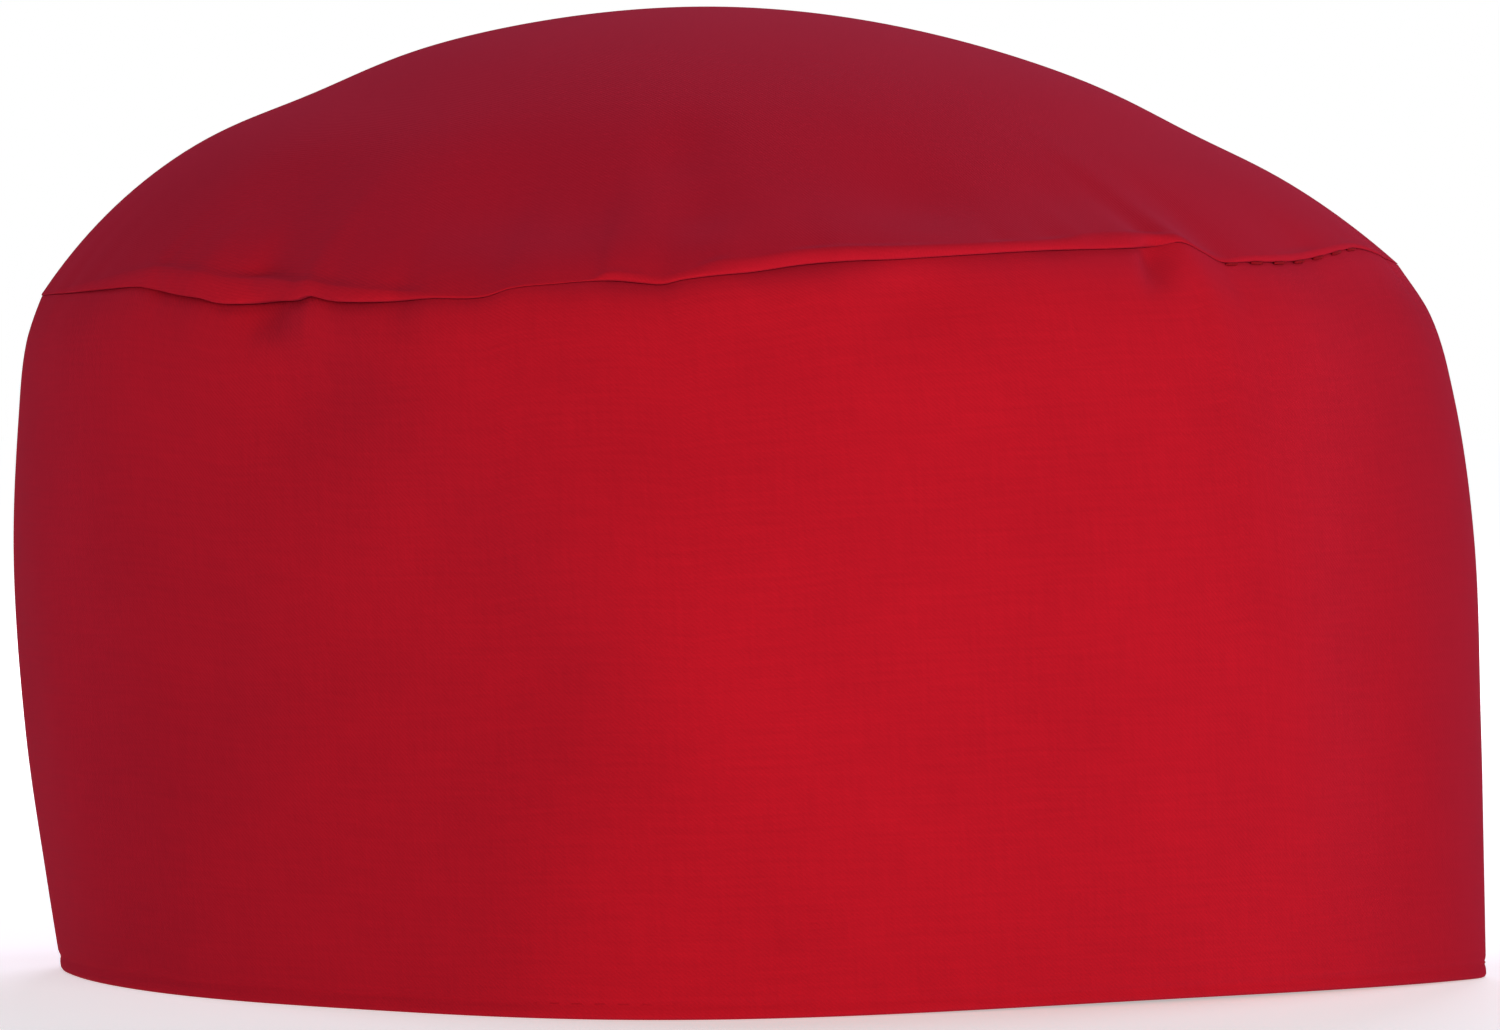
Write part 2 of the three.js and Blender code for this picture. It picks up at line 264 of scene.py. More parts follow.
# slow waves of the wall: size; how many go round the cap; height over which it turns by a radian; its start
SWELL_WAVES = ((0.30, 5, 38, 0.6), (0.18, 9, -26, 2.1), (0.08, 21, 17, 4.0))
SWELL_POWER = 0.5      # the swell dies out at the rim and the seam with this power of a sine
GATHER_COUNT = 46      # small random gathers round the whole seam
GATHER_STRAY = 0.4     # share of the even spacing by which each one strays
GATHER_DEPTHS = (0.08, 0.26)
GATHER_WIDTHS = (0.018, 0.04)  # in radians round the cap
GATHER_REACHES = (3.0, 7.0)    # down the band and up the crown
GATHER_SEED = 20       # another number would give other gathers
rng = np.random.default_rng(GATHER_SEED)
gather_stray = rng.uniform(-GATHER_STRAY, GATHER_STRAY, GATHER_COUNT)
gather_angle = (np.arange(GATHER_COUNT) + gather_stray) * 2 * np.pi / GATHER_COUNT
gather_depth = rng.uniform(*GATHER_DEPTHS, GATHER_COUNT)
gather_width = rng.uniform(*GATHER_WIDTHS, GATHER_COUNT)
gather_reach = rng.uniform(*GATHER_REACHES, GATHER_COUNT)


def bump_of(distance):
    """A smooth bump: one at the middle, falling away as a bell curve."""
    return np.exp(-distance ** 2)


def fold_relief(across, height):
    """Each fold is a channel along a line: its depth falls as a bell curve to both sides and past its ends.

    Its two sides have widths of their own, so one flank can be steep and the other gentle.
    """
    pressed = np.zeros(np.broadcast(across, height).shape)
    for x0, z0, x1, z1, right_width, left_width, end_reach, depth in BAND_FOLDS:
        length = np.hypot(x1 - x0, z1 - z0)
        along = ((across - x0) * (x1 - x0) + (height - z0) * (z1 - z0)) / length
        aside = ((x1 - x0) * (height - z0) - (z1 - z0) * (across - x0)) / length
        beyond = along - np.clip(along, 0, length)
        width = np.where(aside > 0, right_width, left_width)
        pressed += depth * bump_of(aside / width) * bump_of(beyond / end_reach)
    return pressed


def pucker_relief(across, below):
    """The charted gathers under the front seam, each an upright bell-shaped dent."""
    pressed = np.zeros(np.broadcast(across, below).shape)
    for place, middle, half_width, half_height, depth in SEAM_PUCKERS:
        pressed += depth * bump_of((across - place) / half_width) * bump_of((below - middle) / half_height)
    return pressed


def gather_relief(angle, away):
    """Small random gathers round the seam, dying out with the distance away from it."""
    turn = (angle[..., None] - gather_angle + np.pi) % (2 * np.pi) - np.pi
    fading = np.exp(-np.maximum(away, 0)[..., None] / gather_reach)
    return (gather_depth * bump_of(turn / gather_width) * fading).sum(-1)


def swell(angle, height):
    """Slow unevenness of a soft wall: three sine waves round the cap that lean as they rise."""
    waves = np.zeros(np.broadcast(angle, height).shape)
    for size, count, lean, start in SWELL_WAVES:
        waves += size * np.sin(count * angle + height / lean + start)
    return waves * np.sin(np.pi * np.clip(height / SEAM_RIGHT, 0, 1)) ** SWELL_POWER


def seam_tuck(angle):
    """How far the seam is drawn in: from the table along the front, even at the back, none at the ends."""
    across = plan(angle, np.ones_like(angle))[0]
    front = front_share(angle)
    drawn = front * smooth_curve(LIP_FOLD, LIP_DRAWN, across) + (1 - front) * BACK_TUCK
    return drawn * (1 - end_share(angle))


def seam_relief(angle, below):
    """The band's top edge turning in: the tuck dies out quickly below the seam, the shoulder slowly."""
    below = np.maximum(below, 0)
    across = plan(angle, np.ones_like(angle))[0]
    shoulder = front_share(angle) * smooth_curve(LIP_FOLD, LIP_SHOULDER, across)
    return seam_tuck(angle) * np.exp(-below / TUCK_REACH) + shoulder * np.exp(-below / SHOULDER_REACH)


def rim_lift(angle, across, rise):
    """How far the rim stands off the table: a bell curve along the front that dies out quickly upwards."""
    along_rim = front_share(angle) * bump_of((across - RIM_LIFT_ACROSS) / RIM_LIFT_WIDTH)
    return RIM_LIFT * along_rim * (1 - rise) ** RIM_LIFT_POWER


def wall(angle, rise, inset, lift):
    """A point of the wall: the plan at its height, moved straight in by the inset and all the relief."""
    angle, rise, inset, lift = np.broadcast_arrays(angle, rise, inset, lift)
    x, y = plan(angle, rise)
    out_x, out_y = plan_outward(angle, rise)
    top = seam_height(angle)
    height = rise * top + lift + rim_lift(angle, x, rise)
    below = top - height
    pressed = front_share(angle) * (fold_relief(x, height) + pucker_relief(x, below))
    pressed = pressed + gather_relief(angle, below) + swell(angle, height) + seam_relief(angle, below)
    pressed += CHANNEL_DEPTH * bump_of((height - STITCH_HEIGHT) / CHANNEL_REACH)
    return np.stack([x - (inset + pressed) * out_x, y - (inset + pressed) * out_y, height], -1)


print("deepest fold", BAND_FOLDS[:, -1].max(), "mm;", GATHER_COUNT, "small gathers")

# %% [markdown]
# ## From rings of points to a mesh
#
# Every cloth piece here is a stack of closed rings. Joining each ring to the next with four-sided faces
# gives a skin, and a stack whose last ring meets its first is a closed wall with an inside and an
# outside, so no Solidify modifier is needed and the wall has its real thickness everywhere.

# %% Skin a stack of rings
def new_piece(name, points, faces, uv):
    """A mesh object from arrays: points in millimetres, corner numbers of its faces, one UV pair a corner.

    faces is a list of arrays, one for each kind of face: rows of four corners, rows of three.
    """
    corners = np.concatenate([kind.ravel() for kind in faces])
    sizes = np.concatenate([np.full(len(kind), kind.shape[1]) for kind in faces])
    mesh = bpy.data.meshes.new(name)
    mesh.vertices.add(len(points))
    mesh.vertices.foreach_set("co", (points * MM).astype(np.float32).ravel())
    mesh.loops.add(len(corners))
    mesh.loops.foreach_set("vertex_index", corners.astype(np.int32))
    mesh.polygons.add(len(sizes))
    mesh.polygons.foreach_set("loop_start", (sizes.cumsum() - sizes).astype(np.int32))
    mesh.polygons.foreach_set("use_smooth", np.ones(len(sizes), dtype=bool))
    layer = mesh.uv_layers.new(name="cloth")
    layer.uv.foreach_set("vector", (uv * MM).astype(np.float32).ravel())
    mesh.update(calc_edges=True)
    mesh.validate()
    piece = bpy.data.objects.new(name, mesh)
    bpy.context.scene.collection.objects.link(piece)
    return piece


def ring_faces(rows, columns, joined):
    """Corner numbers of the faces between rings; joined also skins the last ring to the first."""
    row = np.arange(rows if joined else rows - 1)[:, None]
    column = np.arange(columns)[None, :]
    next_row, next_column = (row + 1) % rows, (column + 1) % columns
    corners = [row * columns + column, row * columns + next_column,
               next_row * columns + next_column, next_row * columns + column]
    return np.stack(np.broadcast_arrays(*corners), -1).reshape(-1, 4)


def grid_uv(u, v):
    """UV pairs for the corners of ring_faces, from values with one extra column and row."""
    corners = [(slice(None, -1), slice(None, -1)), (slice(None, -1), slice(1, None)),
               (slice(1, None), slice(1, None)), (slice(1, None), slice(None, -1))]
    return np.stack([np.stack([u[c], v[c]], -1) for c in corners], -2).reshape(-1, 2)


print("faces of a 3 by 4 stack:", len(ring_faces(3, 4, False)))

# %% [markdown]
# ## The band
#
# The band is one strip of twill, hemmed along the rim and closed to a loop. A plane bent round a curve would
# need its hem and its thickness added later, so the strip's section is followed once round instead: over
# the folded rim, up the outside to the seam, over its top edge and down the inside to the hem. The rows
# lie close together at the hem and the seam, where the cloth turns, and further apart on the plain wall.
# The UV map is the flat strip itself, in metres, so the weave keeps its size and its threads run along
# the strip.

# %% Make the band
ROUND_CORNER = 0.3     # share of its radius by which the middle of a quarter circle lies in from the corner
HEM_TOP = HEM_HEIGHT / SEAM_RIGHT
# share of the seam's height from and to; number of rings; how much they crowd towards both ends
HEM_ROWS = (HEM_ROUND / SEAM_RIGHT, HEM_TOP, 11, 0.0)
WALL_ROWS = (HEM_TOP + 0.01, 0.93, 48, 0.25)
SHOULDER_ROWS = (0.935, 0.999, 18, 0.3)
INSIDE_ROWS = (0.99, HEM_TOP + 0.005, 26, 0.3)


def close_rows(start, end, count, crowd):
    """Heights from start to end that crowd towards both ends: a straight ramp mixed with a half cosine."""
    ramp = np.linspace(0, 1, count)
    return start + (end - start) * ((1 - crowd) * ramp + crowd * (1 - np.cos(np.pi * ramp)) / 2)


def band_rows():
    """Share of the seam's height, inset and lift of each ring of the band's section."""
    corner = ROUND_CORNER * HEM_ROUND
    rim = [(0, HEM_WALL - HEM_ROUND, 0), (0, HEM_WALL / 2, 0), (0, HEM_ROUND, 0), (0, corner, corner)]
    outer_rises = np.concatenate([close_rows(*rows) for rows in (HEM_ROWS, WALL_ROWS, SHOULDER_ROWS)])
    outer = [(rise, 0, 0) for rise in outer_rises]
    edge = [(1, 0, -SEAM_TOUCH), (1, CLOTH / 2, -SEAM_TOUCH), (1, CLOTH, -2 * SEAM_TOUCH)]
    inner = [(rise, CLOTH, 0) for rise in close_rows(*INSIDE_ROWS)]
    inner_hem = [(HEM_TOP, HEM_WALL, 0), (0, HEM_WALL, HEM_HEIGHT / 2), (0, HEM_WALL, HEM_ROUND)]
    return np.array(rim + outer + edge + inner + inner_hem)


def make_band():
    """All rings at once. The UV is the length along the strip and the length round its section."""
    rows = band_rows()
    points = wall(angles[None, :], *(column[:, None] for column in rows.T))
    looped = np.concatenate([points, points[:1]])
    looped = np.concatenate([looped, looped[:, :1]], axis=1)
    v = np.concatenate([[0], np.linalg.norm(np.diff(looped[:, 0], axis=0), axis=-1).cumsum()])
    u = np.concatenate([[0], np.linalg.norm(np.diff(looped[len(rows) // 2], axis=0), axis=-1).cumsum()])
    uv = grid_uv(*np.broadcast_arrays(u[None, :], v[:, None]))
    return new_piece("band_cloth", points.reshape(-1, 3), [ring_faces(len(rows), AROUND, True)], uv)


band_cloth = make_band()
print("band:", len(band_cloth.data.polygons), "faces")

# %% [markdown]
# ## The crown
#
# The crown is one oval panel that stands up in a soft dome. Half a sphere pressed flat would be too level on
# top and too steep at its edge, so the panel falls away from its top as a power of the distance, fuller at
# the left end than at the right. At the seam its edge turns down in a soft fold. The fold's height comes
# from a table, because the photograph shows it wide and bright in some places and gone in others. Inside,
# the panel's margin is turned down against the band, where the two are sewn together.

# %% Shape of the dome
CROWN_TOP_ACROSS = -5.7  # where the top of the dome lies across the cap
CROWN_RUN = 85.0       # length from the dome's top to its edge, on average
END_POWER = 1.93       # towards the two ends the dome falls away as this power of the distance from its top
FRONT_POWER = 1.72     # and towards the front and back as this one
SHOULDER_POWER = 7     # power of the steep shoulder close to the seam
SHOULDER_LEFT = 0.25   # share of the fall that is left for a steep shoulder at each end
SHOULDER_RIGHT = 0.04
END_SHARPNESS = 4      # power with which shoulders and hollows die out away from their end
# soft hollows across the crown's two ends: share of the way from top to edge; reach along it; depth
LEFT_HOLLOW = (0.60, 0.12, 1.2)
RIGHT_HOLLOW = (0.71, 0.10, 0.8)
WAVE_FADE = 10         # power with which the seam's wave and roll die out towards the top
MEAN_LIP = 1.3         # the dome's foot lies this far above the seam on average
BACK_LIP = 1.2         # height of the turned edge along the plain back
LEAST_LIP = 0.08       # and where the crown runs flush into the band
TUCK_RADIUS = 0.38     # the turned edge ends in a small curl back to the seam
FULL_TUCK = 0.6        # where the seam is drawn in this far the edge has its whole curl, elsewhere less
TUCK_END = np.radians(165)  # how far round the curl goes
LEAST_CURL = 0.1       # share of the curl that is always there
CURL_STEPS = 6         # places round the curl: the fold starts at the last
LIP_OVERHANG = 0.2     # share of its height by which the turned edge stands out over the seam
LEAST_SLOPE = 0.2      # the dome falls away at its edge at least this steeply
LOW_LIP_SOFTNESS = 0.6  # under 1 the edge starts to turn back low down, above 1 only close to its top
LIP_STIFFENING = 0.4   # each millimetre of height adds this to it, as a tall fold stands upright for longer
LIP_STEPS = 12         # rings up the turned edge


def lip_height(angle):
    """Height of the turned edge: from the table along the front, even at the back, and low at the ends."""
    across = plan(angle, np.ones_like(angle))[0]
    front = front_share(angle)
    turned = front * smooth_curve(LIP_FOLD, LIP_TALL, across) + (1 - front) * BACK_LIP
    return np.maximum(turned * (1 - end_share(angle)), LEAST_LIP)


def lip_fullness(angle):
    """How upright the turned edge gets: from the table along the front, fully so at the back."""
    across = plan(angle, np.ones_like(angle))[0]
    front = front_share(angle)
    return front * smooth_curve(LIP_FOLD, LIP_UPRIGHT, across) + (1 - front)


def dome_powers(angle, step):
    """The dome's fall from its top: a share of it goes with a high power, which makes a fuller shoulder."""
    power = FRONT_POWER + (END_POWER - FRONT_POWER) * np.cos(angle) ** 2
    shoulder = SHOULDER_LEFT * (1 - rightward(angle)) ** END_SHARPNESS
    shoulder = shoulder + SHOULDER_RIGHT * rightward(angle) ** END_SHARPNESS
    return (1 - shoulder) * step ** power + shoulder * step ** SHOULDER_POWER


def dome_lean(angle):
    """The dome's lean at its edge, in radians: the slope of dome, wave and lip together."""
    edge_x, edge_y = plan(angle, np.ones_like(angle))
    run = np.hypot(edge_x - CROWN_TOP_ACROSS, edge_y - PLAN_BACK)
    small = 1e-3
    fall = (dome_powers(angle, 1.0) - dome_powers(angle, 1.0 - small)) / small
    raised = seam_lift(angle) + lip_height(angle) - MEAN_LIP
    slope = (fall * (CAP_HEIGHT - seam_straight(angle) - MEAN_LIP) - WAVE_FADE * raised) / run
    return np.arctan(np.maximum(slope, LEAST_SLOPE))


def lip_profile(angle):
    """How far out and up from the seam each ring of the turned edge lies, from the seam to the dome's edge.

    First the small curl: a circle. Then the fold: its face turns from upright to the dome's lean, and adding
    up the directions of its steps gives its points.
    """
    height, lean = lip_height(angle), dome_lean(angle)
    rolled = np.clip(seam_tuck(angle) / FULL_TUCK, LEAST_CURL, 1)
    overhang = LIP_OVERHANG * height * rolled
    curl = TUCK_RADIUS * rolled
    turns = np.linspace(TUCK_END, np.pi / 2, CURL_STEPS)[:-1, None]
    curl_out = overhang - curl * (1 - np.sin(turns))
    curl_up = SEAM_TOUCH + curl * (np.cos(turns) - np.cos(TUCK_END))
    middle = (np.arange(LIP_STEPS)[:, None] + 0.5) / LIP_STEPS
    softness = LOW_LIP_SOFTNESS + LIP_STIFFENING * height
    turned = 1 - lip_fullness(angle) * (1 - middle ** softness)
    faces = np.pi / 2 - (np.pi / 2 - lean) * turned
    rise, back = np.sin(faces).cumsum(0), np.cos(faces).cumsum(0)
    fold_up = SEAM_TOUCH - curl * np.cos(TUCK_END) + height * rise / rise[-1]
    fold_out = overhang - height * back / rise[-1]
    return np.concatenate([curl_out, fold_out]), np.concatenate([curl_up, fold_up])


def dent_relief(angle, step):
    """The gathers of the crown along the seam, bell-shaped dents, and the soft hollows across its ends."""
    across = plan(angle, np.ones_like(angle))[0]
    pressed = np.zeros(np.broadcast(angle, step).shape)
    for hollow, share in ((LEFT_HOLLOW, 1 - rightward(angle)), (RIGHT_HOLLOW, rightward(angle))):
        middle, reach, depth = hollow
        pressed += depth * share ** END_SHARPNESS * bump_of((step - middle) / reach)
    for dents, side in ((FRONT_DENTS, np.sin(angle) < 0), (BACK_DENTS, np.sin(angle) >= 0)):
        for place, width, depth, middle, reach in dents:
            dent = bump_of((across - place) / width) * bump_of((step - middle) / reach)
            pressed += side * depth * dent
    return pressed


def crown_outside(angle, step):
    """A point a share of the way from top to edge: the dome, with the wave, the lip and the dents.

    Only the last stretch before the edge follows the small gathers, so that they don't run up to the top.
    """
    angle, step = np.broadcast_arrays(angle, step)
    near_edge = step ** WAVE_FADE
    out, up = (part.reshape(-1, *angle.shape)[-1] for part in lip_profile(angle.reshape(1, -1)))
    edge = wall(angle, 1.0, -out - seam_tuck(angle), 0.0)[..., :2]
    smooth_edge = np.stack(plan(angle, np.ones_like(angle)), -1)
    top = np.array([CROWN_TOP_ACROSS, PLAN_BACK])
    place = top + (smooth_edge - top) * step[..., None] + (edge - smooth_edge) * near_edge[..., None]
    foot = seam_straight(angle) + MEAN_LIP
    raised = seam_lift(angle) + up - MEAN_LIP
    height = CAP_HEIGHT + (foot - CAP_HEIGHT) * dome_powers(angle, step) + raised * near_edge
    gathers = gather_relief(angle, CROWN_RUN * (1 - step))
    height -= dent_relief(angle, step) * (1 - near_edge) + gathers * near_edge
    return np.concatenate([place, height[..., None]], -1)


def crown_inside(angle, step, small=1e-3):
    """One cloth thickness straight in from the outside, along the cross product of its two tangents."""
    along = crown_outside(angle + small, step) - crown_outside(angle - small, step)
    down = crown_outside(angle, step + small) - crown_outside(angle, step - small)
    inward = np.cross(along, down)
    return crown_outside(angle, step) + CLOTH * unit(inward)


lip_heights = lip_height(angles)
print("turned edge from", lip_heights.min().round(2), "to", lip_heights.max().round(2), "mm tall")

# %% Make the crown
# share of the way from top to edge, from and to; number of rings; how much they crowd towards both ends
DOME_INSIDE = (0.04, 0.955, 28, 0.2)
DOME_OUTSIDE = (0.996, 0.015, 64, 0.35)
MARGIN_MIDDLE = 0.4    # a ring this share of the way down the margin
UNDER_EDGE = 0.3       # inset of the last ring on the band's top edge


def crown_rings():
    """All rings of the crown: inside of the dome, margin, underside and lip, outside of the dome."""
    across = angles[None, :]
    inner_steps = close_rows(*DOME_INSIDE)[:, None]
    outer_steps = close_rows(*DOME_OUTSIDE)[:, None]
    margin_foot = 1 - SEAM_MARGIN / SEAM_LEFT
    margin_middle = 1 - MARGIN_MIDDLE * SEAM_MARGIN / SEAM_LEFT
    margin_outer = CLOTH + SEAM_GAP
    margin_inner = margin_outer + CLOTH
    margin_in = [(1, margin_inner, 0), (margin_middle, margin_inner, 0), (margin_foot, margin_inner, 0)]
    margin_out = [(margin_foot, margin_outer, 0), (margin_middle, margin_outer, 0)]
    under = [(1, margin_outer, SEAM_TOUCH), (1, UNDER_EDGE, SEAM_TOUCH)]
    margin = np.array(margin_in + margin_out + under)
    out, up = lip_profile(across)
    return np.concatenate([
        crown_inside(across, inner_steps),
        wall(across, *(column[:, None] for column in margin.T)),
        wall(across, 1.0, -out - seam_tuck(across), up),
        crown_outside(across, outer_steps),
    ])


def fan_faces(ring, middle):
    """Corner numbers of triangles from each edge of a ring of points to one point in its middle."""
    return np.stack([ring, np.roll(ring, -1), np.full_like(ring, middle)], -1)


def make_crown():
    """The UV map is the panel spread flat: the direction from the top, and the length of cloth from it."""
    rings = crown_rings()
    inner_top, outer_top = rings[0].mean(0), rings[-1].mean(0)
    points = np.concatenate([rings.reshape(-1, 3), [inner_top, outer_top]])
    last = len(points) - 2
    inner_ring = np.arange(AROUND)
    outer_ring = last - AROUND + inner_ring
    faces = [ring_faces(len(rings), AROUND, False), fan_faces(inner_ring, last)[:, ::-1],
             fan_faces(outer_ring, last + 1)]
    steps = np.linalg.norm(np.diff(rings, axis=0), axis=-1)
    length = np.concatenate([steps[::-1].cumsum(0)[::-1], np.zeros((1, AROUND))])
    direction = unit(rings[-1, :, :2] - outer_top[:2])
    flat = np.concatenate([(length[..., None] * direction).reshape(-1, 2), np.zeros((2, 2))])
    flat[last] = flat[inner_ring].mean(0)
    uv = np.concatenate([flat[kind].reshape(-1, 2) for kind in faces])
    return new_piece("crown_cloth", points, faces, uv)


crown_cloth = make_crown()
print("crown:", len(crown_cloth.data.polygons), "faces")

# %% [markdown]
# ## Stitches
#
# The hem is held by one row of stitches close to the rim, and at the right the seam's own thread shows
# where the crown doesn't roll over it; it is coloured nearly black, as painted shade of the needle holes it
# lies in. A stitch is a tiny capsule that is half sunk into the cloth. One capsule is worked out once and an
# array calculation sets it down at every place, so hundreds of them are a single mesh.

# %% A stitch, set down many times
CAPSULE_SIDES = 6
# place along the capsule, as a share of half its length; radius, as a share of the thread's
CAPSULE_RINGS = np.array([[-1.0, 0.02], [-0.86, 0.72], [-0.5, 1.0], [0.5, 1.0], [0.86, 0.72], [1.0, 0.02]])


def stitch_mesh(name, places, along, outward, length, radius):
    """Capsules: rings of the profile round the direction along, half of each standing out of the cloth."""
    sideways = np.cross(outward, along)
    turn = np.arange(CAPSULE_SIDES) * 2 * np.pi / CAPSULE_SIDES
    reach = CAPSULE_RINGS[:, 0, None] * length / 2 * np.ones(CAPSULE_SIDES)
    across = CAPSULE_RINGS[:, 1, None] * radius * np.cos(turn)
    proud = CAPSULE_RINGS[:, 1, None] * radius * np.sin(turn)
    points = (places[:, None, None] + reach[..., None] * along[:, None, None]
              + across[..., None] * sideways[:, None, None] + proud[..., None] * outward[:, None, None])
    one = ring_faces(len(CAPSULE_RINGS), CAPSULE_SIDES, False)
    size = len(CAPSULE_RINGS) * CAPSULE_SIDES
    faces = (one[None] + np.arange(len(places))[:, None, None] * size).reshape(-1, 4)
    flat = points.reshape(-1, 3)
    return new_piece(name, flat, [faces], flat[faces][..., [0, 2]].reshape(-1, 2))


FINE_STEPS = 8 * AROUND  # steps round the cap in which a length is measured


def even_angles(height_share, lift, pitch):
    """Angles that step by an equal length along the wall: the running length, read backwards."""
    fine = np.linspace(0, 2 * np.pi, FINE_STEPS + 1)
    path = wall(fine, height_share, 0.0, lift)
    run = np.concatenate([[0], np.linalg.norm(np.diff(path, axis=0), axis=-1).cumsum()])
    count = int(run[-1] / pitch)
    return np.interp(np.arange(count) * run[-1] / count, run, fine)


def wall_directions(angle, rise, lift, small=2e-3):
    """Along the wall and straight out of it."""
    along = unit(wall(angle + small, rise, 0.0, lift) - wall(angle - small, rise, 0.0, lift))
    out_x, out_y = plan_outward(angle, np.broadcast_to(rise, angle.shape))
    return along, np.stack([out_x, out_y, np.zeros_like(out_x)], -1)


HEM_PITCH = 3.0        # from one hem stitch to the next
HEM_STITCH = 2.3       # length of one
THREAD_RADIUS = 0.18
HEM_SUNK = 0.2         # share of the radius by which the thread's middle lies in the cloth
hem_angle = even_angles(0.0, STITCH_HEIGHT, HEM_PITCH)
hem_along, hem_out = wall_directions(hem_angle, 0.0, STITCH_HEIGHT)
hem_places = wall(hem_angle, 0.0, HEM_SUNK * THREAD_RADIUS, STITCH_HEIGHT)
hem_stitches = stitch_mesh("hem_stitches", hem_places, hem_along, hem_out, HEM_STITCH, THREAD_RADIUS)
print(len(hem_angle), "hem stitches")

# %% The seam's thread where it shows
SEAM_PITCH = 5.2       # from one seam stitch to the next
SEAM_STITCH = 2.8      # length of one
SEAM_THREAD_RADIUS = 0.24
SEAM_THREAD_DROP = 0.12  # the thread lies this far below the seam
SEAM_THREAD_OUT = 0.8    # and comes out by this share of how far the seam is drawn in
SEAM_THREAD_FROM = 66.0  # it shows between these two places across the cap
SEAM_THREAD_TO = 84.5
seam_angle = even_angles(1.0, 0.0, SEAM_PITCH)
seam_x, seam_y = plan(seam_angle, np.ones_like(seam_angle))
shown = (seam_x > SEAM_THREAD_FROM) & (seam_x < SEAM_THREAD_TO) & (seam_y < 0)
seam_angle = seam_angle[shown]
seam_along, seam_out = wall_directions(seam_angle, 1.0, 0.0)
seam_places = wall(seam_angle, 1.0, -SEAM_THREAD_OUT * seam_tuck(seam_angle), -SEAM_THREAD_DROP)
seam_sizes = (SEAM_STITCH, SEAM_THREAD_RADIUS)
seam_stitches = stitch_mesh("seam_stitches", seam_places, seam_along, seam_out, *seam_sizes)
print(len(seam_angle), "seam stitches")

# %% [markdown]
# ## Shader maths as plain Python
#
# A procedural material is a chain of small nodes. Wiring each one by hand hides what it works out, so a
# small class wraps a socket and adds a Math node for every operator: `1 - mask * 0.2` then reads as what
# it does.

# %% A socket with operators
OBJECT_OUTPUT = 3      # the Texture Coordinate node's Object output
COLOUR_OUTPUT = 2      # the Mix node's colour output


class Flow:
    """A socket in a node tree, or the tree alone when link is None."""

    def __init__(self, tree, link=None):
        self.tree = tree
        self.link = link

    def node(self, kind, settings=None, sockets=None, output=0):
        """Any node: its type, settings, and the values or links of its sockets. Gives one of its outputs."""
        made = self.tree.nodes.new(kind)
        for name, value in (settings or {}).items():
            setattr(made, name, value)
        self.fill(made, sockets or {})
        return Flow(self.tree, made.outputs[output])

    def fill(self, made, sockets):
        """Gives each named socket of a node its value or its link."""
        for name, value in sockets.items():
            if isinstance(value, Flow):
                self.tree.links.new(value.link, made.inputs[name])
            else:
                made.inputs[name].default_value = value

    def math(self, operation, first, second=0.0):
        """A Math node on one or two values."""
        return self.node("ShaderNodeMath", {"operation": operation}, {0: first, 1: second})

    def __add__(self, other):
        return self.math("ADD", self, other)

    __radd__ = __add__

    def __sub__(self, other):
        return self.math("SUBTRACT", self, other)

    def __rsub__(self, other):
        return self.math("SUBTRACT", other, self)

    def __mul__(self, other):
        return self.math("MULTIPLY", self, other)

    __rmul__ = __mul__


def principled(name):
    """A new material and its Principled shader, with a Flow on its node tree."""
    material = bpy.data.materials.new(name)
    material.use_nodes = True
    return material, material.node_tree.nodes["Principled BSDF"], Flow(material.node_tree)


def mix_colours(flow, share, first, second):
    """The first colour where the share is 0, the second where it is 1."""
    sockets = {"Factor": share, "A": first, "B": second}
    return flow.node("ShaderNodeMix", {"data_type": "RGBA"}, sockets, COLOUR_OUTPUT)


def smooth_step(flow, value, start, end):
    """0 up to the start, 1 from the end on, with a smooth rise between them."""
    limits = {"Value": value, "From Min": start, "From Max": end}
    return flow.node("ShaderNodeMapRange", {"interpolation_type": "SMOOTHSTEP"}, limits)


print("shader helpers ready")

# %% [markdown]
# ## Red twill
#
# Twill is woven so that the threads step sideways row by row, which draws fine slanting ribs. Up close
# there are ribs a little over half a millimetre apart, uneven yarns that show as faint streaks along the
# strip, and a slow cloudiness of the dye. A bump node carries the ribs, and the colour follows them
# weakly, as dye does. A picture of cloth would show where it repeats, so sines and noise make the weave.
# The crown is mixed with a darker, cooler red above the seam: painted shade, as it faces up, away from the
# low lamps. The band is mixed darker towards its two folded ends: painted shade, where it turns away from
# the lamps. The fine hairs of the yarn catch light that grazes the cloth: that is the sheen.

# %% Make the twill and the thread
TWILL_PALE = (0.460, 0.0056, 0.0114, 1.0)
TWILL_DEEP = (0.332, 0.0039, 0.0084, 1.0)
# painted shade for the band's two ends, which turn away from the lamps
END_SHADE_RED = (0.246, 0.0030, 0.0068, 1.0)
# painted shade: the crown's darker, cooler red, as it faces up, away from the low lamps
CROWN_PAINTED_SHADE = (0.390, 0.0058, 0.0137, 1.0)
CROWN_SHADE_SHARE = 0.6
THREAD_RED = (0.34, 0.0060, 0.0150, 1.0)
# painted shade: the seam's thread is coloured nearly black for the shadowed needle holes it lies in
SEAM_THREAD_SHADE = (0.11, 0.0030, 0.0070, 1.0)
END_SHADE_FROM = 79 * MM    # painted shade: the band is darker towards its two ends, where it turns away from the lamps, from this far out
END_SHADE_TO = 103 * MM
END_SHADE_SHIFT = 4 * MM    # the right end gets more of this painted shade
END_SHADE_EVEN = 0.3        # share of the painted shade that is even, and share that is cloudy
END_SHADE_CLOUDY = 0.4
SHADE_BELOW = 90 * MM  # between these two heights the band's painted end shade stops and the crown's painted shade begins
SHADE_ABOVE = 97 * MM
RIB_PITCH = 0.62 * MM
RIB_HEIGHT = 0.05 * MM
# how often the weft yarn, the warp yarn and the clouds change in a metre, along the strip and up it
WEFT_CHANGES = (90.0, 1700.0)
WARP_CHANGES = (1700.0, 120.0)
CLOUD_CHANGES = 45.0
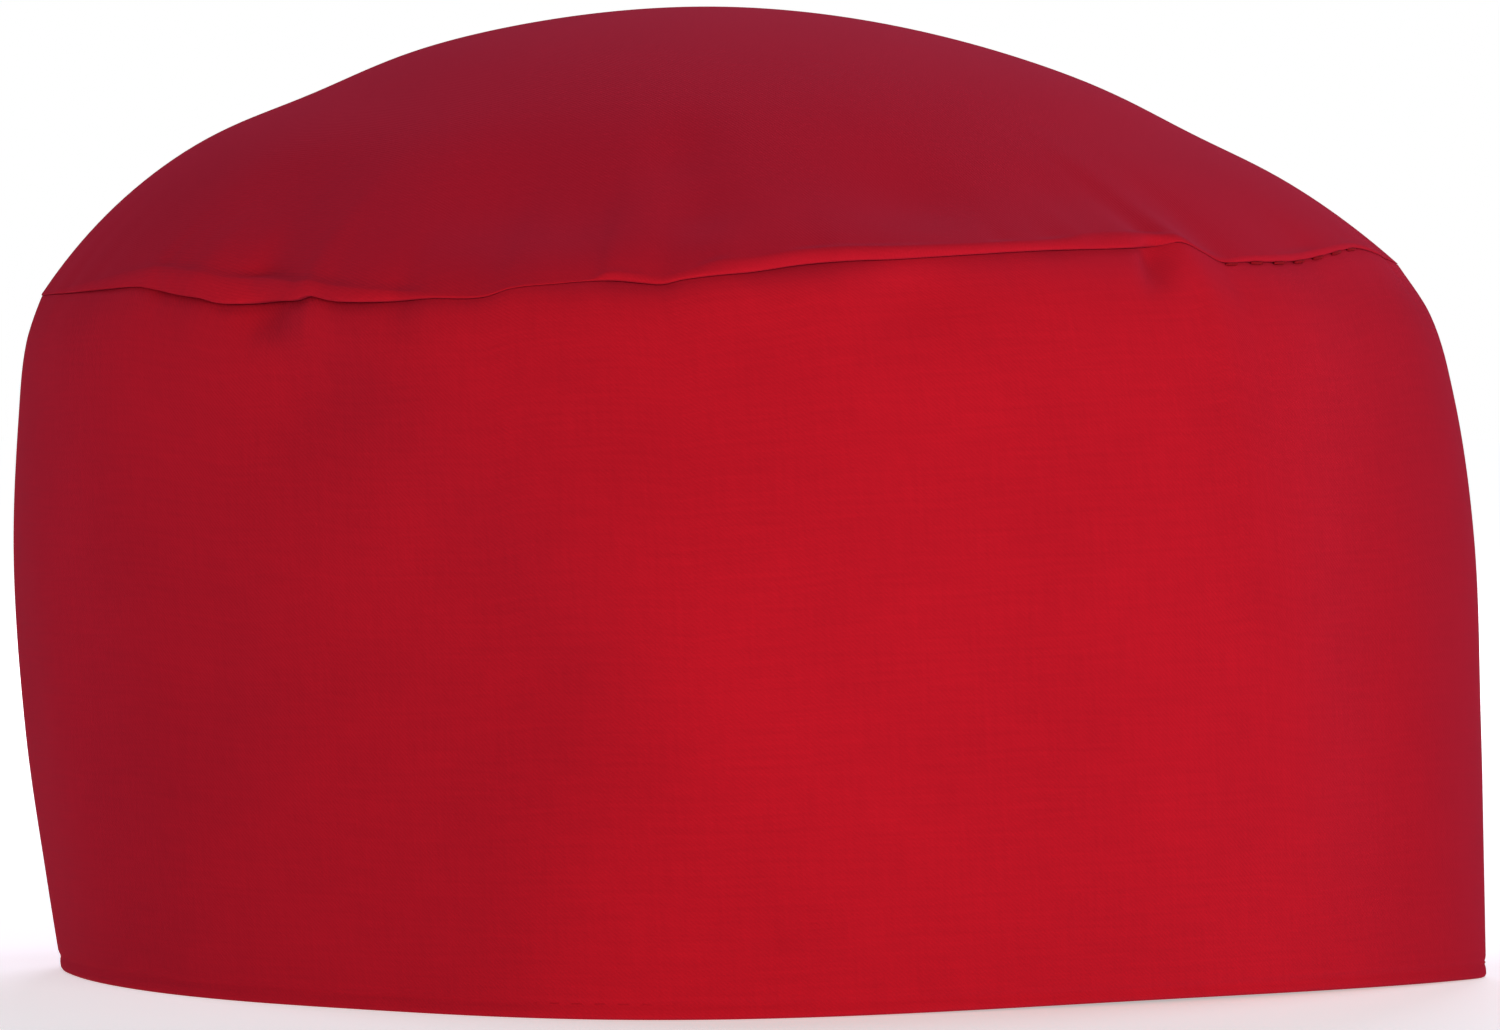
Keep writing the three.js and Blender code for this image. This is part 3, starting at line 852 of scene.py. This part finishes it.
# how strongly ribs, weft, warp and clouds change the tone, and ribs, weft and warp the relief
RIB_TONE = 0.10
WEFT_TONE = 0.55
WARP_TONE = 0.35
CLOUD_TONE = 0.6
RIB_RELIEF = 0.5
WEFT_RELIEF = 0.9
WARP_RELIEF = 0.6
TWILL_ROUGH = 0.80
WEFT_ROUGH = 0.12
TWILL_BUMP = 0.35
TWILL_GLOSS = 0.004    # cotton hardly mirrors at all
SHEEN_WEIGHT = 0.028
SHEEN_ROUGH = 0.8
SHEEN_TINT = (0.25, 0.40, 1.0, 1.0)
THREAD_CHANGES = 4000.0  # how often the thread's fuzz changes in a metre
THREAD_BUMP = 0.4
THREAD_ROUGH = 0.6
THREAD_GLOSS = 0.02


def crown_share(flow):
    """0 on the band and 1 on the crown, from the height above the table."""
    place = flow.node("ShaderNodeTexCoord", output=OBJECT_OUTPUT)
    height = flow.node("ShaderNodeSeparateXYZ", sockets={0: place}, output=2)
    return smooth_step(flow, height, SHADE_BELOW, SHADE_ABOVE)


def painted_end_shade(flow):
    """Painted shade: how much darker the band is, growing towards the two folded ends, which turn from the
    lamps.
    """
    place = flow.node("ShaderNodeTexCoord", output=OBJECT_OUTPUT)
    across = flow.node("ShaderNodeSeparateXYZ", sockets={0: place}, output=0)
    return smooth_step(flow, flow.math("ABSOLUTE", across + END_SHADE_SHIFT), END_SHADE_FROM, END_SHADE_TO)


def streaks(flow, along, up, changes, detail):
    """Noise about 0, drawn out into streaks: it changes at one rate along the strip and another up it."""
    place = flow.node("ShaderNodeCombineXYZ", sockets={0: along * changes[0], 1: up * changes[1]})
    return flow.node("ShaderNodeTexNoise", sockets={"Vector": place, "Scale": 1.0, "Detail": detail}) - 0.5


def twill_finish():
    """The cloth: slanting ribs are a sine of the length along plus the length up, and yarns are streaks."""
    material, shader, flow = principled("red_twill")
    place = flow.node("ShaderNodeUVMap", {"uv_map": "cloth"})
    along = flow.node("ShaderNodeSeparateXYZ", sockets={0: place}, output=0)
    up = flow.node("ShaderNodeSeparateXYZ", sockets={0: place}, output=1)
    rib = flow.math("SINE", (along + up) * (2 * np.pi / RIB_PITCH))
    weft = streaks(flow, along, up, WEFT_CHANGES, 2.0)
    warp = streaks(flow, along, up, WARP_CHANGES, 1.0)
    cloud_sockets = {"Vector": place, "Scale": CLOUD_CHANGES, "Detail": 3.0}
    cloud = flow.node("ShaderNodeTexNoise", sockets=cloud_sockets)
    tone = 0.5 + RIB_TONE * rib + WEFT_TONE * weft + WARP_TONE * warp + CLOUD_TONE * (cloud - 0.5)
    dyed = mix_colours(flow, tone, TWILL_DEEP, TWILL_PALE)
    on_crown = crown_share(flow)
    # painted shade: the crown is mixed darker and cooler, as it faces up, away from the low lamps
    shaded = mix_colours(flow, CROWN_SHADE_SHARE * on_crown, dyed, CROWN_PAINTED_SHADE)
    # painted shade: the band is mixed darker towards its two ends, which turn away from the lamps
    end_shading = painted_end_shade(flow) * (1 - on_crown) * (END_SHADE_EVEN + END_SHADE_CLOUDY * cloud)
    shaded_ends = mix_colours(flow, end_shading, shaded, END_SHADE_RED)
    relief = RIB_RELIEF * rib + WEFT_RELIEF * weft + WARP_RELIEF * warp
    bump_sockets = {"Height": relief, "Strength": TWILL_BUMP, "Distance": RIB_HEIGHT}
    bump = flow.node("ShaderNodeBump", sockets=bump_sockets)
    rough = TWILL_ROUGH + WEFT_ROUGH * weft
    flow.fill(shader, {"Base Color": shaded_ends, "Roughness": rough, "Normal": bump})
    flow.fill(shader, {"Specular IOR Level": TWILL_GLOSS, "Sheen Weight": SHEEN_WEIGHT})
    flow.fill(shader, {"Sheen Roughness": SHEEN_ROUGH, "Sheen Tint": SHEEN_TINT})
    return material


def thread_finish(name, colour):
    """Sewing thread: fine noise mixes its own colour with the cloth's and makes it fuzzy."""
    material, shader, flow = principled(name)
    place = flow.node("ShaderNodeTexCoord", output=OBJECT_OUTPUT)
    fuzz_sockets = {"Vector": place, "Scale": THREAD_CHANGES, "Detail": 1.0}
    fuzz = flow.node("ShaderNodeTexNoise", sockets=fuzz_sockets)
    tone = mix_colours(flow, fuzz, TWILL_DEEP, colour)
    bump_sockets = {"Height": fuzz, "Strength": THREAD_BUMP, "Distance": RIB_HEIGHT}
    bump = flow.node("ShaderNodeBump", sockets=bump_sockets)
    flow.fill(shader, {"Base Color": tone, "Roughness": THREAD_ROUGH, "Normal": bump})
    flow.fill(shader, {"Specular IOR Level": THREAD_GLOSS})
    return material


twill = twill_finish()
thread = thread_finish("red_thread", THREAD_RED)
# the seam's thread carries painted shade: nearly black for the shadowed needle holes
shaded_seam_thread = thread_finish("seam_thread_painted_shade", SEAM_THREAD_SHADE)
print("finishes:", twill.name, thread.name, shaded_seam_thread.name)

# %% Dress the pieces
FINISHES = ((band_cloth, twill), (crown_cloth, twill), (hem_stitches, thread), (seam_stitches, shaded_seam_thread))
for piece, finish in FINISHES:
    piece.data.materials.append(finish)
    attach(piece, "root")
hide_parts("band")
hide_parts("crown")
print("pieces dressed:", [piece.name for piece, finish in FINISHES])

# %% [markdown]
# ## Floor, light and camera
#
# The photograph is lit softly from the front right and low, so the band is brightest right of the middle.
# Three panels behind and above keep the crown from going dark, and a weak one at the left fills that end.
# Each is a row of one short table, which is easier to read and to change than a function for every light.
# The rest is a pale floor that glows a little, as a light table does, and a dim even sky.

# %% Pale floor
FLOOR_SIZE = 12.0
FLOOR_PALE = (0.86, 0.87, 0.80, 1.0)
FLOOR_ROUGH = 0.9
FLOOR_GLOW = 0.42
FAR_GLOW = 0.86        # far from the cap the floor goes over into the white backdrop
NEAR_FLOOR = 0.35      # the glow changes between these two distances from the cap
FAR_FLOOR = 1.2


def make_floor():
    """One large square, whose glow grows smoothly with the distance from the cap."""
    half = FLOOR_SIZE / 2
    mesh = bpy.data.meshes.new("floor")
    corners = [(-half, -half, 0), (half, -half, 0), (half, half, 0), (-half, half, 0)]
    mesh.from_pydata(corners, [], [(0, 1, 2, 3)])
    floor = bpy.data.objects.new("floor", mesh)
    bpy.context.scene.collection.objects.link(floor)
    material, shader, flow = principled("pale_floor")
    place = flow.node("ShaderNodeTexCoord", output=OBJECT_OUTPUT)
    distance = flow.node("ShaderNodeVectorMath", {"operation": "LENGTH"}, {0: place}, output=1)
    glow = FLOOR_GLOW + (FAR_GLOW - FLOOR_GLOW) * smooth_step(flow, distance, NEAR_FLOOR, FAR_FLOOR)
    flow.fill(shader, {"Base Color": FLOOR_PALE, "Roughness": FLOOR_ROUGH})
    flow.fill(shader, {"Emission Color": glow, "Emission Strength": 1.0})
    mesh.materials.append(material)


make_floor()
print("floor", FLOOR_SIZE, "m wide")

# %% Sky and lamps
SKY_LIGHT = 0.160
SKY_TINT = (0.97, 1.0, 1.15, 1.0)
BACK_TINT = (1.0, 0.97, 1.25)
LAMP_TARGET = (0, 0, 0.07)
# name; degrees to the right of straight ahead; distance; height; panel's width and height; watts; colour
LAMPS = (
    ("key", 28, 1.7, 0.22, 1.3, 0.4, 20.4, (1, 1, 1)),
    ("back", 180, 1.4, 1.20, 0.7, 0.7, 11.0, BACK_TINT),
    ("back_left", -125, 1.4, 1.10, 0.7, 0.7, 7.0, BACK_TINT),
    ("back_right", 135, 1.4, 1.20, 0.7, 0.7, 6.5, BACK_TINT),
    ("left", -105, 1.4, 0.80, 0.7, 0.7, 1.3, BACK_TINT),
)


def make_sky():
    """An even dim sky. Seen directly it is plain white, as a studio's paper backdrop is."""
    world = bpy.data.worlds.new("soft_sky")
    bpy.context.scene.world = world
    world.use_nodes = True
    flow = Flow(world.node_tree)
    seen = flow.node("ShaderNodeLightPath", output=0)
    strength = SKY_LIGHT + (1 - SKY_LIGHT) * seen
    colour = mix_colours(flow, seen, SKY_TINT, (1, 1, 1, 1))
    flow.fill(world.node_tree.nodes["Background"], {"Strength": strength, "Color": colour})


def aim_at(thing, place, target):
    """Puts a lamp or a camera in its place and turns its front, which is -Z, to the target."""
    thing.location = place
    thing.rotation_euler = (Vector(target) - Vector(place)).to_track_quat("-Z", "Y").to_euler()


def make_lamp(name, degrees, distance, height, width, tall, power, colour):
    """One soft panel: its place is the sine and cosine of its direction, times the distance."""
    light = bpy.data.lights.new(name, "AREA")
    light.shape = "RECTANGLE"
    light.size = width
    light.size_y = tall
    light.energy = power
    light.color = colour
    lamp = bpy.data.objects.new(name, light)
    bpy.context.scene.collection.objects.link(lamp)
    turn = np.radians(degrees)
    aim_at(lamp, (distance * np.sin(turn), -distance * np.cos(turn), height), LAMP_TARGET)


make_sky()
for lamp_row in LAMPS:
    make_lamp(*lamp_row)
print(len(LAMPS), "lamps")

# %% Camera
CAMERA_TURN = np.radians(5.7)  # to the right of straight ahead
CAMERA_DISTANCE = 1.25
CAMERA_HEIGHT = 0.087
CAMERA_TARGET = (0.0004, 0.0, 0.0621)
IMAGE_WIDTH = 1500
FOCAL_PIXELS = 9225            # focal length in pixels of the 1500 by 1030 picture
SENSOR_WIDTH = 36.0
CLIP_START = 0.05


def make_camera():
    """A long lens at the photograph's angle: its focal length in pixels is scaled to the sensor."""
    camera = bpy.data.cameras.new("camera")
    camera.sensor_width = SENSOR_WIDTH
    camera.lens = FOCAL_PIXELS / IMAGE_WIDTH * SENSOR_WIDTH
    camera.clip_start = CLIP_START
    eye = bpy.data.objects.new("camera", camera)
    bpy.context.scene.collection.objects.link(eye)
    place = (CAMERA_DISTANCE * np.sin(CAMERA_TURN), -CAMERA_DISTANCE * np.cos(CAMERA_TURN), CAMERA_HEIGHT)
    aim_at(eye, place, CAMERA_TARGET)
    bpy.context.scene.camera = eye
    return camera.lens


lens = make_camera()
bpy.context.scene.view_settings.view_transform = "Standard"
print(f"lens {lens:.0f} mm")
